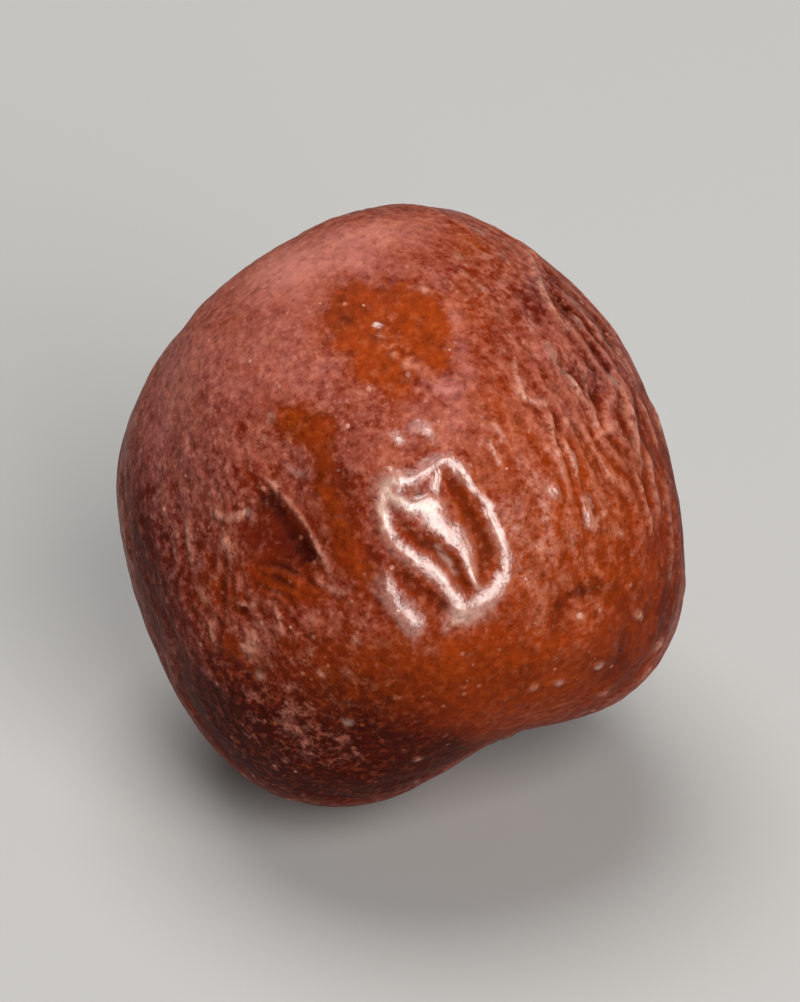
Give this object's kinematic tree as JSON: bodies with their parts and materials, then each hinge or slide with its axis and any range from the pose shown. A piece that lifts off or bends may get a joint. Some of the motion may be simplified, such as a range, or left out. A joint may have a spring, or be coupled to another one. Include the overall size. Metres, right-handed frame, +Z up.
{
  "type": "jujube",
  "caption": "Whole dried jujube fruit, a rounded barrel with wrinkled skin, a ringed stem pit and a small flat it rests on.",
  "frame": {"origin": "at the surface the fruit rests on, under the middle of its outline seen from above", "axes": "+Z up as it rests; the side shown in the picture faces -Y and up; the stem end points to -X, +Y and up, and the stylar end the opposite way"},
  "size_m": [0.0254, 0.0268, 0.0263],
  "materials": {
    "skin": "glossy wrinkled red-brown skin with a thin grey-mauve bloom"
  },
  "bodies": {
    "root": {"jujube": "skin"}
  },
  "joints": []
}
